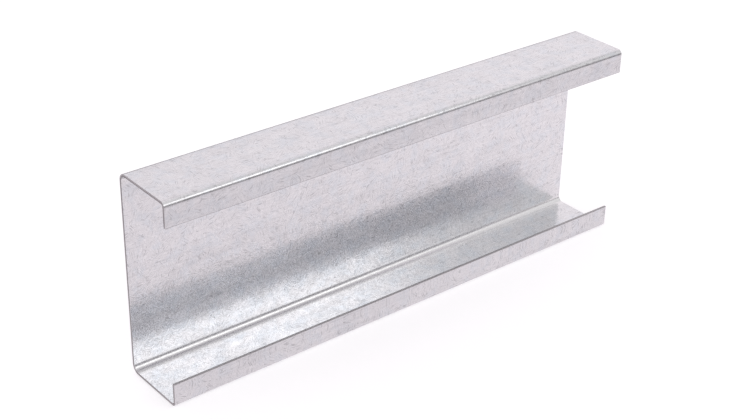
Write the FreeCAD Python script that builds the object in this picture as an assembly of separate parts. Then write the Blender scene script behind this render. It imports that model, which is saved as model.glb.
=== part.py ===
import FreeCAD, Part
import math
import os

# One length of lipped C-section purlin, cold-formed from a single galvanised strip.
# Frame: X along the length, the web's back towards +Y, the open side towards -Y, +Z up.
# The origin is the centre of the underside of the lower flange.

length = 530.0  # between the two sheared ends
web_depth = 200.0  # over the outsides of the two flanges
flange_width = 70.0  # from the web's back to the outer face of the lips
lip_depth = 24.0  # from the outside of a flange to the cut edge of its lip
sheet_thickness = 2.5  # steel strip with its zinc coating
web_bend_radius = 6.0  # inside, where the web turns into a flange
lip_bend_radius = 2.5  # inside, where a flange turns into its lip

steel_density = 7.85e-6  # kg per cubic millimetre

back = flange_width / 2  # Y of the web's back
front = -flange_width / 2  # Y of the outer face of the lips
inside_bend_radii = [lip_bend_radius, web_bend_radius, web_bend_radius, lip_bend_radius]


def section_corners(inset):
    """The sharp corners of the section's surface, inset from its outside, from lip to lip."""
    lip_y = front + inset
    web_y = back - inset
    top_z = web_depth - inset
    bottom_z = inset
    corners = [
        (lip_y, web_depth - lip_depth),
        (lip_y, top_z),
        (web_y, top_z),
        (web_y, bottom_z),
        (lip_y, bottom_z),
        (lip_y, lip_depth),
    ]
    return [FreeCAD.Vector(-length / 2, y, z) for y, z in corners]


def bent_line(corners, radii):
    """Straight runs between the corners, joined by a tangent arc at each inner corner."""
    edges = []
    start = corners[0]
    for before, corner, after, radius in zip(corners, corners[1:], corners[2:], radii):
        arriving = (corner - before).normalize()
        leaving = (after - corner).normalize()
        setback = radius * math.tan(arriving.getAngle(leaving) / 2)
        arc_start = corner - arriving * setback
        arc_end = corner + leaving * setback
        centre = arc_start + (leaving - arriving * arriving.dot(leaving)).normalize() * radius
        arc_middle = centre + (corner - centre).normalize() * radius
        edges.append(Part.LineSegment(start, arc_start).toShape())
        edges.append(Part.Arc(arc_start, arc_middle, arc_end).toShape())
        start = arc_end
    edges.append(Part.LineSegment(start, corners[-1]).toShape())
    return edges


def make_purlin():
    """The strip's section, closed across both lip edges and run along the length."""
    outer = section_corners(0)
    inner = section_corners(sheet_thickness)
    edges = bent_line(outer, [radius + sheet_thickness for radius in inside_bend_radii])
    edges.append(Part.LineSegment(outer[-1], inner[-1]).toShape())
    edges.extend(bent_line(inner, inside_bend_radii))
    edges.append(Part.LineSegment(inner[0], outer[0]).toShape())
    outline = Part.Wire(Part.__sortEdges__(edges))
    return Part.Face(outline).extrude(FreeCAD.Vector(length, 0, 0))


os.makedirs("parts", exist_ok=True)
purlin = make_purlin()
purlin.exportStep("parts/purlin.step")

strip_width = purlin.Volume / (length * sheet_thickness)
print(f"strip width before forming {strip_width:.1f} mm")
print(f"mass {purlin.Volume * steel_density:.2f} kg")
print(f"centre of mass {purlin.CenterOfMass.y - front:.1f} mm behind the lips")
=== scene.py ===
import bpy
import math
from mathutils import Matrix, Vector


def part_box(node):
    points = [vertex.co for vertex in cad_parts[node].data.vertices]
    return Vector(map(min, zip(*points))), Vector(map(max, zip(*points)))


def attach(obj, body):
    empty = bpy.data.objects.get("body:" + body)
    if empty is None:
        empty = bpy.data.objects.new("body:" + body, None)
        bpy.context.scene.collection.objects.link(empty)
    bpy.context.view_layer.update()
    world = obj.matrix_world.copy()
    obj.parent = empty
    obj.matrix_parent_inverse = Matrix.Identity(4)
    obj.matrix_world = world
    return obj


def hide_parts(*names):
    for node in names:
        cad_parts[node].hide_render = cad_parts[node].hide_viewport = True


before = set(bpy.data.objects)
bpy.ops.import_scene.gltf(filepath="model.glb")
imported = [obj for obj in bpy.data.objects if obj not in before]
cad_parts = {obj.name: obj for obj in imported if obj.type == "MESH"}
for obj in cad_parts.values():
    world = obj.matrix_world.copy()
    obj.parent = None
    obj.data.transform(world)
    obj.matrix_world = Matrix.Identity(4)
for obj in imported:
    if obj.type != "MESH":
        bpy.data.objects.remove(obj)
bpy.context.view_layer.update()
low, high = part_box("purlin")
size = high - low
centre = (low + high) / 2
print("frame loaded, purlin", [round(side, 4) for side in size])


class Signal:
    # one socket of a node tree, with Python's operators standing for Math nodes

    def __init__(self, tree, socket=None):
        self.tree = tree
        self.socket = socket

    # any node: its settings come first, then its sockets get their values or links
    def add(self, kind, settings=None, values=None, output=0):
        node = self.tree.nodes.new(kind)
        for name, value in (settings or {}).items():
            if name == "items":
                while len(node.index_switch_items) < value:
                    node.index_switch_items.new()
            else:
                setattr(node, name, value)
        for name, value in (values or {}).items():
            if isinstance(value, Signal):
                self.tree.links.new(value.socket, node.inputs[name])
            else:
                node.inputs[name].default_value = value
        return Signal(self.tree, node.outputs[output])

    def other(self, output):
        return Signal(self.tree, self.socket.node.outputs[output])

    def math(self, operation, *values):
        return self.add("ShaderNodeMath", {"operation": operation}, dict(enumerate(values)))

    def __add__(self, value):
        return self.math("ADD", self, value)

    def __radd__(self, value):
        return self.math("ADD", value, self)

    def __sub__(self, value):
        return self.math("SUBTRACT", self, value)

    def __rsub__(self, value):
        return self.math("SUBTRACT", value, self)

    def __mul__(self, value):
        return self.math("MULTIPLY", self, value)

    def __rmul__(self, value):
        return self.math("MULTIPLY", value, self)

    def __truediv__(self, value):
        return self.math("DIVIDE", self, value)

    def __rtruediv__(self, value):
        return self.math("DIVIDE", value, self)

    def __neg__(self):
        return self.math("MULTIPLY", self, -1.0)

    def __abs__(self):
        return self.math("ABSOLUTE", self)

    def __gt__(self, value):
        return self.math("GREATER_THAN", self, value)

    def atMost(self, value):
        return self.math("MINIMUM", self, value)

    def atLeast(self, value):
        return self.math("MAXIMUM", self, value)

    # eased from 0 at start to 1 at end, where end may be the lower of the two
    def rise(self, start, end):
        return self.add("ShaderNodeMapRange", {"interpolation_type": "SMOOTHSTEP"},
                        {"Value": self, "From Min": start, "From Max": end})

    # the first colour where the signal is 0, the second where it is 1
    def blend(self, first, second):
        mixed = self.add("ShaderNodeMix", {"data_type": "RGBA"}, {0: self, 6: first, 7: second})
        return mixed.other(2)


def linkTo(shader, name, signal):
    shader.id_data.links.new(signal.socket, shader.inputs[name])


section = {
    "length": size.x,
    "webDepth": size.z,
    "flangeWidth": size.y,
    "lipDepth": 0.024,
    "sheet": 0.0025,
    "webBend": 0.006,  # inside radii of the four bends
    "lipBend": 0.0025,
    "slitSoftness": 0.0006,  # rounding of the strip's slit edges, at the lips
    "shearSoftness": 0.0002,  # rounding of the sheared ends
    "bendSteps": 12,
    "slitSteps": 3,
    "bendSpan": (0.0025, 0.0015),  # a longer span between points is a flat, a shorter one is in a bend
    "panelPitch": 0.006,  # spacing of the points across the flats and along the length
    "lengthPitch": 0.006,
    "flatness": 0.00018,  # how far the web strays from flat
    "flatnessSpan": 0.13,
    "flatnessFade": (0.01, 0.06),  # from the outside of each flange, where the straying starts
    "webSide": (0.0, 0.02),  # across the section, where the web's own straying starts
    "slitTip": 0.99,  # a face is a slit edge where its corners are marked as tips by more than this
    "endSlope": 0.9,  # a face is a sheared end where its normal lies along the length by more than this
    "seed": 4.0,
}


# the section swept along the length: its outline starts sharp, then its bends and slit edges are rounded
def makeSectionTree():
    tree = bpy.data.node_groups.new("lippedSection", "GeometryNodeTree")
    tree.interface.new_socket("Geometry", in_out="OUTPUT", socket_type="NodeSocketGeometry")
    names = ["Length", "Web Depth", "Flange Width", "Lip Depth", "Sheet", "Web Bend", "Lip Bend",
             "Slit Softness", "Panel Pitch", "Length Pitch", "Flatness", "Flatness Span", "Seed"]
    for name in names:
        tree.interface.new_socket(name, in_out="INPUT", socket_type="NodeSocketFloat")
    for name in ["Bend Steps", "Slit Steps"]:
        tree.interface.new_socket(name, in_out="INPUT", socket_type="NodeSocketInt")
    tree.interface.new_socket("Coat", in_out="INPUT", socket_type="NodeSocketMaterial")
    tree.interface.new_socket("Cut", in_out="INPUT", socket_type="NodeSocketMaterial")
    given = tree.nodes.new("NodeGroupInput")
    start = Signal(tree)
    value = {socket.name: Signal(tree, socket) for socket in given.outputs if socket.name}

    def vector(x, y, z):
        return start.add("ShaderNodeCombineXYZ", values={0: x, 1: y, 2: z})

    # twelve sharp corners: round the outside from the upper lip to the lower, then back round the inside
    front = value["Flange Width"] * -0.5
    depth = value["Web Depth"]
    lip = value["Lip Depth"]

    def corners(inset):
        lipY = front + inset
        webY = -front - inset
        return [(lipY, depth - lip), (lipY, depth - inset), (webY, depth - inset),
                (webY, inset), (lipY, inset), (lipY, lip)]

    outline = corners(0.0) + corners(value["Sheet"])[::-1]
    slit, slitSteps, bendSteps = value["Slit Softness"], value["Slit Steps"], value["Bend Steps"]
    innerBends = [value["Lip Bend"], value["Web Bend"], value["Web Bend"], value["Lip Bend"]]
    outerBends = [value["Lip Bend"] + value["Sheet"], value["Web Bend"] + value["Sheet"]]
    bends = [slit] + outerBends + outerBends[::-1] + [slit] * 2 + innerBends + [slit]
    steps = [slitSteps] + [bendSteps] * 4 + [slitSteps] * 2 + [bendSteps] * 4 + [slitSteps]
    tip = [1.0] + [0.0] * 4 + [1.0] * 2 + [0.0] * 4 + [1.0]
    inside = [0.0] * 6 + [1.0] * 6
    index = start.add("GeometryNodeInputIndex")

    def pick(kind, choices):
        slots = {0: index}
        slots.update({number + 1: choice for number, choice in enumerate(choices)})
        return start.add("GeometryNodeIndexSwitch", {"data_type": kind, "items": len(choices)}, slots)

    points = [vector(-y, -z, 0.0) for y, z in outline]
    ring = start.add("GeometryNodeCurvePrimitiveCircle", values={"Resolution": len(outline)})
    ring = start.add("GeometryNodeSetPosition",
                     values={"Geometry": ring, "Position": pick("VECTOR", points)})

    def keep(geometry, name, kind, signal, domain="POINT"):
        return start.add("GeometryNodeStoreNamedAttribute", {"data_type": kind, "domain": domain},
                         {"Geometry": geometry, "Name": name, "Value": signal})

    def named(name, kind="FLOAT"):
        return start.add("GeometryNodeInputNamedAttribute", {"data_type": kind}, {"Name": name})

    ring = keep(ring, "tip", "FLOAT", pick("FLOAT", tip))
    ring = keep(ring, "sheetDepth", "FLOAT", pick("FLOAT", inside))
    bent = start.add("GeometryNodeFilletCurve", {"mode": "POLY"},
                     {"Curve": ring, "Count": pick("INT", steps), "Radius": pick("FLOAT", bends)})

    # the flats are divided finely enough to take their slight waviness
    position = start.add("GeometryNodeInputPosition")
    nextPoint = start.add("GeometryNodeFieldAtIndex", {"data_type": "FLOAT_VECTOR"},
                          {"Index": index + 1.0, "Value": position})
    run = start.add("ShaderNodeVectorMath", {"operation": "DISTANCE"},
                    {0: position, 1: nextPoint}, output="Value")
    cuts = run.math("FLOOR", run / value["Panel Pitch"])
    bent = start.add("GeometryNodeSubdivideCurve", values={"Curve": bent, "Cuts": cuts})
    bent = keep(bent, "bend", "FLOAT", run.rise(*section["bendSpan"]))
    around = start.add("GeometryNodeSplineParameter", output="Length")
    wholeWay = start.add("GeometryNodeSplineLength", output="Length")
    bent = keep(bent, "girth", "FLOAT", around.atMost(wholeWay - around))

    half = value["Length"] * 0.5
    path = start.add("GeometryNodeCurvePrimitiveLine", values={"Start": vector(-half, 0.0, 0.0),
                                                               "End": vector(half, 0.0, 0.0)})
    path = start.add("GeometryNodeResampleCurve", {"mode": "LENGTH"},
                     {"Curve": path, "Length": value["Length Pitch"]})
    swept = start.add("GeometryNodeCurveToMesh",
                      values={"Curve": path, "Profile Curve": bent, "Fill Caps": True})

    # the web strays a little from flat between its bends
    place = start.add("ShaderNodeSeparateXYZ", values={0: position})
    x, y, z = place, place.other(1), place.other(2)
    span = value["Flatness Span"]
    wave = start.add("ShaderNodeTexNoise", {"noise_dimensions": "2D"},
                     {"Vector": vector(x / span + value["Seed"], z / span, 0.0),
                      "Scale": 1.0, "Detail": 1.0})
    fade = section["flatnessFade"]
    awayFromBends = z.rise(*fade) * (depth - z).rise(*fade) * y.rise(*section["webSide"])
    stray = (wave - 0.5) * 2.0 * value["Flatness"] * awayFromBends
    swept = start.add("GeometryNodeSetPosition",
                      values={"Geometry": swept, "Offset": vector(0.0, stray, 0.0)})

    swept = start.add("GeometryNodeFlipFaces", values={"Mesh": swept})
    swept = keep(swept, "strip", "FLOAT2", vector(x, named("girth"), 0.0), "CORNER")
    facing = start.add("GeometryNodeInputNormal")
    endFace = abs(start.add("ShaderNodeSeparateXYZ", values={0: facing})) > section["endSlope"]
    slitFace = named("tip") > section["slitTip"]
    cutFace = endFace.atLeast(slitFace)
    swept = start.add("GeometryNodeSetShadeSmooth",
                      values={"Geometry": swept, "Selection": 1.0 - endFace, "Shade Smooth": True})
    swept = start.add("GeometryNodeRealizeInstances", values={"Geometry": swept})
    swept = start.add("GeometryNodeSetMaterial", values={"Geometry": swept, "Material": value["Coat"]})
    swept = start.add("GeometryNodeSetMaterial",
                      values={"Geometry": swept, "Selection": cutFace, "Material": value["Cut"]})
    result = tree.nodes.new("NodeGroupOutput")
    tree.links.new(swept.socket, result.inputs[0])
    return tree


def makePurlin(coat, cut):
    tree = makeSectionTree()
    piece = bpy.data.objects.new("galvanisedPurlin", bpy.data.meshes.new("galvanisedPurlin"))
    bpy.context.scene.collection.objects.link(piece)
    form = piece.modifiers.new("form", "NODES")
    form.node_group = tree
    inputs = {
        "Length": section["length"],
        "Web Depth": section["webDepth"],
        "Flange Width": section["flangeWidth"],
        "Lip Depth": section["lipDepth"],
        "Sheet": section["sheet"],
        "Web Bend": section["webBend"],
        "Lip Bend": section["lipBend"],
        "Slit Softness": section["slitSoftness"],
        "Panel Pitch": section["panelPitch"],
        "Length Pitch": section["lengthPitch"],
        "Flatness": section["flatness"],
        "Flatness Span": section["flatnessSpan"],
        "Seed": section["seed"],
        "Bend Steps": section["bendSteps"],
        "Slit Steps": section["slitSteps"],
        "Coat": coat,
        "Cut": cut,
    }
    for item in tree.interface.items_tree:
        if item.name in inputs:
            form[item.identifier] = inputs[item.name]
    soften = piece.modifiers.new("soften", "BEVEL")
    soften.width = section["shearSoftness"]
    soften.segments = 2
    soften.limit_method = "ANGLE"
    soften.angle_limit = math.radians(60)  # only the edges of the sheared ends turn by more
    even = piece.modifiers.new("even", "WEIGHTED_NORMAL")
    even.keep_sharp = True
    graph = bpy.context.evaluated_depsgraph_get()
    mesh = bpy.data.meshes.new_from_object(piece.evaluated_get(graph), preserve_all_data_layers=True,
                                           depsgraph=graph)
    piece.modifiers.clear()
    piece.data = mesh
    print("purlin formed:", len(mesh.vertices), "points,", len(mesh.polygons), "faces,",
          [material.name for material in mesh.materials])
    return piece


def newMaterial(name):
    material = bpy.data.materials.new(name)
    material.use_nodes = True
    tree = material.node_tree
    shader = tree.nodes["Principled BSDF"]
    return material, Signal(tree), shader


coat = {
    "zinc": (0.836, 0.832, 0.846, 1.0),
    "cool": (0.798, 0.819, 0.851, 1.0),
    "pale": (0.91, 0.905, 0.915, 1.0),
    "dull": (0.52, 0.52, 0.535, 1.0),
    "paintedBendLight": (0.90, 0.895, 0.90, 1.0),  # painted light: the inside of each bend is coloured paler, lifting the dark reflections there, and carries fewer marks
    "faceShift": 3.0,  # how far the pattern is shifted on the sheet's other face
    "crystal": 0.0085,  # size of the zinc crystals
    "strokeLength": 0.0085,  # the feathery strokes inside each crystal
    "strokeWidth": 0.0012,
    "darkStrokes": (0.0, 1.0),  # each kind of stroke: its shift along the strip, and its scale
    "lightStrokes": (1.7, 1.3),
    "mattStrokes": (4.1, 0.8),
    "cloudSize": 0.022,
    "tintScale": 0.7,  # of the cloud size
    "tintShift": 2.3,  # along the strip
    "patchScale": 0.3,
    "patchShift": 0.9,
    "rollLength": 0.12,  # faint lines that the forming rolls leave along the length
    "rollWidth": 0.0020,
    "scuffLength": 0.022,
    "scuffWidth": 0.0006,
    "scuffTurn": 5.0,  # how far the clouds turn the scuffs
    "stripWidth": 0.37,
    "lipShadeWidth": (0.020, 0.010),  # from the slit edge, where the painted shade on the lips' outside fades
    "lightStart": (0.48, 0.66),  # the noise levels between which each mark comes in
    "scuffStart": (0.70, 0.78),
    "darkStart": (0.51, 0.70),
    "patchStart": (0.36, 0.64),
    "cloudStart": (0.40, 0.75),
    "rollStart": (0.42, 0.75),
    "tintStart": (0.42, 0.66),
    "mattStart": (0.44, 0.64),
    "smoothStart": (0.50, 0.68),
    "hazeStart": (0.3, 0.7),
    "lightShare": 0.65,  # how much each mark brightens or dulls the coat
    "scuffShare": 0.35,
    "darkShare": 0.20,
    "darkInPatches": 0.50,
    "cloudShare": 0.08,
    "rollShare": 0.16,
    "rollInBends": 0.10,
    # painted shade on the lips' outer faces, standing in for the darker reflections they show
    "lipShadeShare": 0.16,
    "roughness": 0.135,
    "mattRough": 0.125,  # what each mark adds to the roughness
    "darkSmooth": 0.05,
    "crystalRough": 0.04,
    "cloudRough": 0.03,
    "bendRough": 0.05,
    "insideBendRough": 0.03,
    "relief": 0.00005,
    "lightRelief": 0.6,  # each mark's share of that relief
    "darkRelief": 0.5,
    "patchRelief": 1.2,
    "rollRelief": 0.3,
}


def makeCoat():
    material, start, shader = newMaterial("zincCoat")
    strip = start.add("ShaderNodeAttribute", {"attribute_name": "strip"}, output="Vector")
    depth = start.add("ShaderNodeAttribute", {"attribute_name": "sheetDepth"}, output="Fac")
    bend = start.add("ShaderNodeAttribute", {"attribute_name": "bend"}, output="Fac")
    parts = strip.add("ShaderNodeSeparateXYZ", values={0: strip})
    along, girth = parts + depth * coat["faceShift"], parts.other(1)

    def at(x, y, turn=None, shift=0.0):
        place = start.add("ShaderNodeCombineXYZ", values={0: along + shift, 1: girth, 2: 0.0})
        if turn is not None:
            place = start.add("ShaderNodeVectorRotate", {"rotation_type": "Z_AXIS"},
                              {"Vector": place, "Angle": turn})
        return start.add("ShaderNodeVectorMath", {"operation": "MULTIPLY"},
                         {0: place, 1: (1 / x, 1 / y, 0.0)})

    def noise(place, detail=2.0):
        return start.add("ShaderNodeTexNoise", {"noise_dimensions": "2D"},
                         {"Vector": place, "Scale": 1.0, "Detail": detail})

    # the crystals that one kind of stroke lies in, each with a colour of its own, picked at random
    def crystals(shift, scale):
        size = coat["crystal"] * scale
        cell = start.add("ShaderNodeTexVoronoi", {"voronoi_dimensions": "2D"},
                         {"Vector": at(size, size, shift=shift), "Scale": 1.0}, output="Color")
        return start.add("ShaderNodeSeparateColor", values={0: cell})

    # strokes that lie one way within each crystal, and another way in the next
    def strokes(crystal, scale):
        turn = crystal * (2 * math.pi)
        return noise(at(coat["strokeLength"] * scale, coat["strokeWidth"] * scale, turn))

    darkCrystal = crystals(*coat["darkStrokes"])
    dark = strokes(darkCrystal, coat["darkStrokes"][1])
    light = strokes(crystals(*coat["lightStrokes"]), coat["lightStrokes"][1])
    matt = strokes(crystals(*coat["mattStrokes"]), coat["mattStrokes"][1])
    cloudSize = coat["cloudSize"]
    tintSize = cloudSize * coat["tintScale"]
    patchSize = cloudSize * coat["patchScale"]
    clouds = noise(at(cloudSize, cloudSize), 3.0)
    patches = noise(at(patchSize, patchSize, shift=coat["patchShift"]), 3.0)
    tints = noise(at(tintSize, tintSize, shift=coat["tintShift"]))
    rolled = noise(at(coat["rollLength"], coat["rollWidth"]))
    scuffs = noise(at(coat["scuffLength"], coat["scuffWidth"], clouds * coat["scuffTurn"]), 1.0)

    bright = light.rise(*coat["lightStart"]) * coat["lightShare"]
    bright = bright + scuffs.rise(*coat["scuffStart"]) * coat["scuffShare"]
    darkShare = coat["darkShare"] + patches.rise(*coat["patchStart"]) * coat["darkInPatches"]
    shade = dark.rise(*coat["darkStart"]) * darkShare
    shade = shade + clouds.rise(*coat["cloudStart"]) * coat["cloudShare"]
    shade = shade + rolled.rise(*coat["rollStart"]) * (coat["rollShare"] + bend * coat["rollInBends"])
    # painted shade: the lips' outer faces are dulled towards their slit edges, with the marks' dull
    # colour
    fromFarSlit = coat["stripWidth"] - girth
    lipShadeMask = girth.rise(*coat["lipShadeWidth"]) + fromFarSlit.rise(*coat["lipShadeWidth"])
    shade = shade + lipShadeMask * (1.0 - depth) * coat["lipShadeShare"]
    colour = tints.rise(*coat["tintStart"]).blend(coat["zinc"], coat["cool"])
    colour = bright.blend(colour, coat["pale"])
    colour = shade.atMost(1.0).blend(colour, coat["dull"])
    # painted light: the inside faces of the bends take the paler colour
    linkTo(shader, "Base Color", (bend * depth).blend(colour, coat["paintedBendLight"]))

    rough = coat["roughness"] + matt.rise(*coat["mattStart"]) * coat["mattRough"]
    rough = rough - dark.rise(*coat["smoothStart"]) * coat["darkSmooth"]
    rough = rough + darkCrystal.other(2) * coat["crystalRough"]
    rough = rough + clouds.rise(*coat["hazeStart"]) * coat["cloudRough"]
    rough = rough + bend * (coat["bendRough"] + depth * coat["insideBendRough"])
    linkTo(shader, "Roughness", rough)
    height = light * coat["lightRelief"] + dark * coat["darkRelief"]
    height = height + patches * coat["patchRelief"] + rolled * coat["rollRelief"]
    bump = start.add("ShaderNodeBump",
                     values={"Height": height, "Distance": coat["relief"], "Strength": 1.0})
    linkTo(shader, "Normal", bump)
    shader.inputs["Metallic"].default_value = 1.0
    return material


cutEdge = {
    "burnished": (0.52, 0.50, 0.51, 1.0),
    "torn": (0.36, 0.34, 0.35, 1.0),
    "rolledOverShade": (0.42, 0.40, 0.41, 1.0),  # the arris that the blade draws down, darkened as painted shade for the dark line it reflects
    "scored": (0.22, 0.21, 0.215, 1.0),
    "slitZinc": (0.62, 0.61, 0.62, 1.0),  # zinc wiped over the slit edges
    "slitZincStart": (0.9, 1.0),
    "slitZincShare": 0.6,
    "scoredStart": (0.35, 0.75),
    "scoredShare": 0.4,
    "striation": 0.00035,  # width of the marks that run through the sheet
    "striationStretch": 0.7,
    "tornFrom": (0.45, 0.65),  # through the sheet, where the burnished part turns torn
    "tornStray": 0.3,  # how far the scoring moves that line
    # through the sheet, where the painted shade on the outer arris fades
    "rolledOverShadeSpan": (0.01, 0.10),
    "roughness": 0.3,
    "tornRough": 0.25,
    "relief": 0.00006,
}


def makeCut():
    material, start, shader = newMaterial("shearedEdge")
    depth = start.add("ShaderNodeAttribute", {"attribute_name": "sheetDepth"}, output="Fac")
    girth = start.add("ShaderNodeAttribute", {"attribute_name": "girth"}, output="Fac")
    slit = start.add("ShaderNodeAttribute", {"attribute_name": "tip"}, output="Fac")
    place = start.add("ShaderNodeCombineXYZ", values={
        0: girth / cutEdge["striation"], 1: depth * cutEdge["striationStretch"], 2: 0.0})
    scored = start.add("ShaderNodeTexNoise", {"noise_dimensions": "2D"},
                       {"Vector": place, "Scale": 1.0, "Detail": 2.0})
    torn = (depth + scored * cutEdge["tornStray"]).rise(*cutEdge["tornFrom"])
    colour = torn.blend(cutEdge["burnished"], cutEdge["torn"])
    wiped = slit.rise(*cutEdge["slitZincStart"]) * cutEdge["slitZincShare"]
    colour = wiped.blend(colour, cutEdge["slitZinc"])
    # painted shade: a darker band along the outer arris of each cut face
    colour = (1.0 - depth.rise(*cutEdge["rolledOverShadeSpan"])).blend(colour, cutEdge["rolledOverShade"])
    marks = scored.rise(*cutEdge["scoredStart"]) * cutEdge["scoredShare"]
    linkTo(shader, "Base Color", marks.blend(colour, cutEdge["scored"]))
    linkTo(shader, "Roughness", cutEdge["roughness"] + torn * cutEdge["tornRough"])
    bump = start.add("ShaderNodeBump",
                     values={"Height": scored, "Distance": cutEdge["relief"], "Strength": 1.0})
    linkTo(shader, "Normal", bump)
    shader.inputs["Metallic"].default_value = 1.0
    return material


purlin = makePurlin(makeCoat(), makeCut())
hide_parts("purlin")
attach(purlin, "root")

studio = {
    "floorSide": 2.4,
    "floorColour": (0.80, 0.78, 0.80, 1.0),
    "lensGlow": (0.50, 0.50, 0.50, 1.0),  # what the floor adds of its own, to the lens
    "metalColour": (0.20, 0.19, 0.20, 1.0),  # the floor as reflections show it
    "leftGlow": (0.728, 0.688, 0.715, 1.0),
    "rightGlow": (0.785, 0.743, 0.770, 1.0),
    "glowSides": (-0.35, 0.50),  # along the purlin, from the left glow to the right
    "farGlow": (0.30, 0.29, 0.30, 1.0),
    "farSides": (-0.18, -0.80),  # in front of the purlin, where the reflected floor fades
    "noGlow": (0.0, 0.0, 0.0, 1.0),
    "white": (1.0, 1.0, 1.0, 1.0),
    "frontTint": (1.0, 0.985, 1.0, 1.0),
    "backTint": (1.0, 0.955, 0.99, 1.0),
    "skyLevel": 0.75,
    "lensLevel": 1.0,
    "metalLevel": 0.915,
    "frontDrop": 0.105,  # how much darker the sky is in front
    "backSlope": 0.06,  # how much lighter it is on the right, behind
    "frontCorner": 0.11,  # and how much darker in the far right corner, in front
    "horizonLevel": 0.30,  # the room's darker foot, which only reflections show
    "horizonSlope": 0.16,  # how much lighter that foot is on the right
    "footSides": (0.45, 0.75),
    "horizonTop": 0.36,
    "zenithDrop": 0.06,
    "zenithFrom": (0.52, 0.75),
    "front": (0.2, -0.2),  # where the sky behind the purlin turns into the sky in front of it
    "backSides": (0.35, 0.75),
    "cornerSides": (0.60, 0.76),
    "warmBack": (-0.2, 0.3),  # the back of the sky and its foot take the warmer tint
    "warmFoot": (0.30, 0.10),
}


# the share of rays that come off metal or through glass
def reflected(lens):
    return lens.other("Is Glossy Ray").atLeast(lens.other("Is Transmission Ray"))


def makeFloor():
    half = studio["floorSide"] / 2
    mesh = bpy.data.meshes.new("floor")
    corners = [(-half, -half, low.z), (half, -half, low.z), (half, half, low.z), (-half, half, low.z)]
    mesh.from_pydata(corners, [], [(0, 1, 2, 3)])
    floor = bpy.data.objects.new("floor", mesh)
    bpy.context.scene.collection.objects.link(floor)
    material, start, shader = newMaterial("paleFloor")
    shader.inputs["Roughness"].default_value = 0.9
    shader.inputs["Specular IOR Level"].default_value = 0.0
    shader.inputs["Emission Strength"].default_value = 1.0
    lens = start.add("ShaderNodeLightPath", output="Is Camera Ray")
    metal = reflected(lens)
    place = start.add("ShaderNodeTexCoord", output="Object")
    side = start.add("ShaderNodeSeparateXYZ", values={0: place})
    far = side.other(1).rise(*studio["farSides"])
    glow = side.rise(*studio["glowSides"]).blend(studio["leftGlow"], studio["rightGlow"])
    glow = metal.blend(studio["noGlow"], far.blend(glow, studio["farGlow"]))
    linkTo(shader, "Base Color", metal.blend(studio["floorColour"], studio["metalColour"]))
    linkTo(shader, "Emission Color", lens.blend(glow, studio["lensGlow"]))
    mesh.materials.append(material)
    return floor


def makeSky():
    world = bpy.data.worlds.new("studioSky")
    bpy.context.scene.world = world
    world.use_nodes = True
    tree = world.node_tree
    background = tree.nodes["Background"]
    start = Signal(tree)
    direction = start.add("ShaderNodeTexCoord", output="Generated")
    right = start.add("ShaderNodeSeparateXYZ", values={0: direction})
    back, height = right.other(1), right.other(2)
    lens = start.add("ShaderNodeLightPath", output="Is Camera Ray")
    metal = reflected(lens)
    foot = studio["horizonLevel"] + right.rise(*studio["footSides"]) * studio["horizonSlope"]
    sky = foot + height.rise(0.0, studio["horizonTop"]) * (studio["metalLevel"] - foot)
    sky = sky - height.rise(*studio["zenithFrom"]) * studio["zenithDrop"]
    sky = sky - back.rise(*studio["front"]) * studio["frontDrop"]
    behind = back.rise(*studio["front"][::-1])
    sky = sky + (right.rise(*studio["backSides"]) - 0.5) * behind * studio["backSlope"]
    sky = sky - right.rise(*studio["cornerSides"]) * (1.0 - behind) * studio["frontCorner"]
    level = studio["skyLevel"] + metal * (sky - studio["skyLevel"])
    level = level + lens * (studio["lensLevel"] - level)
    warm = back.rise(*studio["warmBack"]).atLeast(height.rise(*studio["warmFoot"]))
    tint = warm.blend(studio["frontTint"], studio["backTint"])
    linkTo(background, "Strength", level)
    linkTo(background, "Color", lens.blend(tint, studio["white"]))


softbox = {
    "place": (0.50, -1.08, 0.86),
    "target": (-0.1, 0.0, 0.1),
    "width": 0.78,
    "height": 0.38,
    "level": 0.98,
}


def addSoftbox():
    lamp = bpy.data.lights.new("frontSoftbox", "AREA")
    lamp.shape = "RECTANGLE"
    lamp.size = softbox["width"]
    lamp.size_y = softbox["height"]
    lamp.energy = softbox["level"] * math.pi * softbox["width"] * softbox["height"]
    box = bpy.data.objects.new("frontSoftbox", lamp)
    box.location = softbox["place"]
    aim = Vector(softbox["target"]) - Vector(softbox["place"])
    box.rotation_euler = aim.to_track_quat("-Z", "Y").to_euler()
    bpy.context.scene.collection.objects.link(box)


view = {
    "azimuth": -39.34,  # degrees
    "elevation": 28.69,
    "roll": 1.14,
    "distance": 1.409,  # from the purlin's centre
    "lens": 71.86,  # millimetres, on a sensor of this width
    "sensor": 36.0,
    "aimRight": -0.0149,  # how far the view is moved off the centre
    "aimUp": -0.0076,
}


def makeCamera():
    azimuth, elevation, roll = (math.radians(view[name]) for name in ("azimuth", "elevation", "roll"))
    back = Vector((math.sin(azimuth) * math.cos(elevation), -math.cos(azimuth) * math.cos(elevation),
                   math.sin(elevation)))
    right = Vector((0, 0, 1)).cross(back).normalized()
    up = back.cross(right)
    right, up = (right * math.cos(roll) + up * math.sin(roll),
                 up * math.cos(roll) - right * math.sin(roll))
    data = bpy.data.cameras.new("camera")
    data.lens = view["lens"]
    data.sensor_width = view["sensor"]
    camera = bpy.data.objects.new("camera", data)
    camera.location = centre + right * view["aimRight"] + up * view["aimUp"] + back * view["distance"]
    camera.rotation_mode = "QUATERNION"
    camera.rotation_quaternion = Matrix((right, up, back)).transposed().to_quaternion()
    bpy.context.scene.collection.objects.link(camera)
    bpy.context.scene.camera = camera


makeFloor()
makeSky()
addSoftbox()
makeCamera()
bpy.context.scene.view_settings.view_transform = "Standard"
bpy.context.scene.cycles.glossy_bounces = 8  # light crosses the channel several times
print("studio ready")
